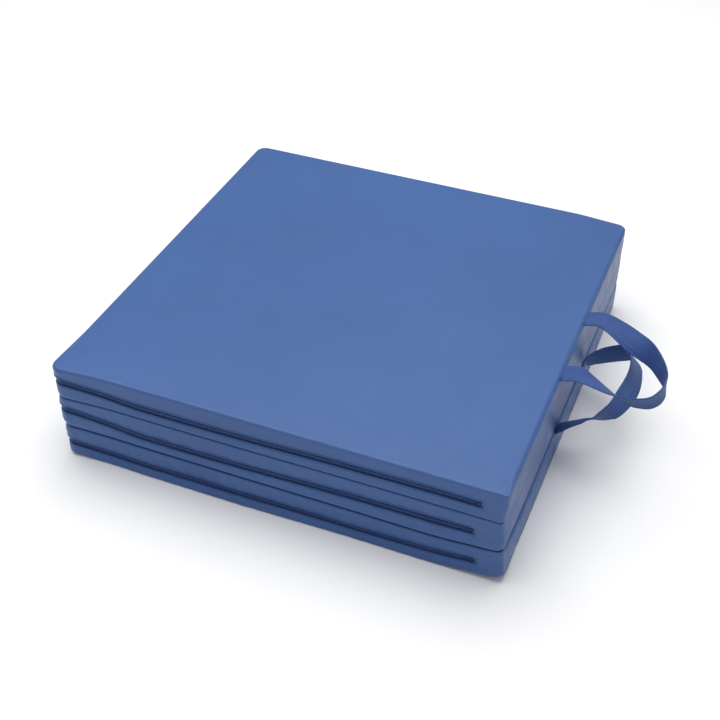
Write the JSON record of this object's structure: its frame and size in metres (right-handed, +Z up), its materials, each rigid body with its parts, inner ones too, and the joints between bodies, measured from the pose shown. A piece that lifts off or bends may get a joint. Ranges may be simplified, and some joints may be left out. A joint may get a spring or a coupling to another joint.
{
  "type": "folding gym mat",
  "caption": "Tri-fold foam gym mat folded into a square stack, with zipped coated-cloth covers and webbing carry handles.",
  "frame": {"origin": "on the floor, at the centre of the bottom panel's underside", "axes": "+X to the side with the handles, -Y to the front with the zippers, +Z up through the folded stack"},
  "size_m": [0.7291, 0.6, 0.1616],
  "materials": {
    "coated_cloth": "satin PVC-coated cloth",
    "fold_cloth": "satin PVC-coated cloth",
    "foam": "open-cell foam",
    "webbing": "woven polypropylene webbing",
    "zipper_tape": "woven tape",
    "zipper_coil": "nylon coil",
    "zipper_metal": "dark lacquered zinc"
  },
  "bodies": {
    "bottom_panel": {"bottom_foam_core": "foam", "bottom_face_sheet": "coated_cloth", "bottom_base_sheet": "coated_cloth", "bottom_plain_band": "coated_cloth", "bottom_zip_band_upper": "coated_cloth", "bottom_zip_band_lower": "coated_cloth", "bottom_zip_tape_upper": "zipper_tape", "bottom_zip_tape_lower": "zipper_tape", "bottom_zip_coil_upper": "zipper_coil", "bottom_zip_coil_lower": "zipper_coil", "bottom_zip_stops": "zipper_metal", "left_strip_lower_half": "fold_cloth"},
    "bottom_slider": {"bottom_zip_slider": "zipper_metal"},
    "bottom_tab": {"bottom_pull_tab": "zipper_metal"},
    "middle_panel": {"middle_foam_core": "foam", "middle_face_sheet": "coated_cloth", "middle_base_sheet": "coated_cloth", "middle_plain_band": "coated_cloth", "middle_zip_band_upper": "coated_cloth", "middle_zip_band_lower": "coated_cloth", "middle_zip_tape_upper": "zipper_tape", "middle_zip_tape_lower": "zipper_tape", "middle_zip_coil_upper": "zipper_coil", "middle_zip_coil_lower": "zipper_coil", "middle_zip_stops": "zipper_metal", "spine_lower_half": "fold_cloth", "left_strip_upper_half": "fold_cloth"},
    "middle_slider": {"middle_zip_slider": "zipper_metal"},
    "middle_tab": {"middle_pull_tab": "zipper_metal"},
    "top_panel": {"top_foam_core": "foam", "top_face_sheet": "coated_cloth", "top_base_sheet": "coated_cloth", "top_plain_band": "coated_cloth", "top_zip_band_upper": "coated_cloth", "top_zip_band_lower": "coated_cloth", "top_zip_tape_upper": "zipper_tape", "top_zip_tape_lower": "zipper_tape", "top_zip_coil_upper": "zipper_coil", "top_zip_coil_lower": "zipper_coil", "top_zip_stops": "zipper_metal", "spine_upper_half": "fold_cloth"},
    "top_slider": {"top_zip_slider": "zipper_metal"},
    "top_tab": {"top_pull_tab": "zipper_metal"},
    "upper_handle_loop": {"upper_handle": "webbing"},
    "lower_handle_loop": {"lower_handle": "webbing"}
  },
  "joints": [
    {"name": "middle_fold", "type": "hinge", "parent": "bottom_panel", "child": "middle_panel", "pos_m": [-0.301, 0, 0.0498], "axis": [0, -1, 0], "range_deg": [0, 180]},
    {"name": "top_fold", "type": "hinge", "parent": "middle_panel", "child": "top_panel", "pos_m": [0.301, 0, 0.0998], "axis": [0, 1, 0], "range_deg": [0, 180]},
    {"name": "bottom_zip_slide", "type": "slide", "parent": "bottom_panel", "child": "bottom_slider", "axis": [0, 1, 0], "range_m": [-0.16, 0]},
    {"name": "bottom_tab_swing", "type": "hinge", "parent": "bottom_slider", "child": "bottom_tab", "pos_m": [-0.2978, -0.092, 0.021], "axis": [0, 0, 1], "range_deg": [-150, 0]},
    {"name": "middle_zip_slide", "type": "slide", "parent": "middle_panel", "child": "middle_slider", "axis": [0, 1, 0], "range_m": [-0.16, 0]},
    {"name": "middle_tab_swing", "type": "hinge", "parent": "middle_slider", "child": "middle_tab", "pos_m": [-0.2978, -0.092, 0.074], "axis": [0, 0, 1], "range_deg": [-150, 0]},
    {"name": "top_zip_slide", "type": "slide", "parent": "top_panel", "child": "top_slider", "axis": [0, 1, 0], "range_m": [-0.16, 0]},
    {"name": "top_tab_swing", "type": "hinge", "parent": "top_slider", "child": "top_tab", "pos_m": [-0.2978, -0.092, 0.1215], "axis": [0, 0, 1], "range_deg": [-150, 0]},
    {"name": "upper_handle_swing", "type": "hinge", "parent": "top_panel", "child": "upper_handle_loop", "pos_m": [0.3003, 0, 0.1466], "axis": [0, -1, 0], "range_deg": [-10, 95], "deforming": ["upper_handle"]},
    {"name": "lower_handle_swing", "type": "hinge", "parent": "bottom_panel", "child": "lower_handle_loop", "pos_m": [0.3003, 0, 0.0468], "axis": [0, -1, 0], "range_deg": [-50, 15], "deforming": ["lower_handle"]}
  ]
}
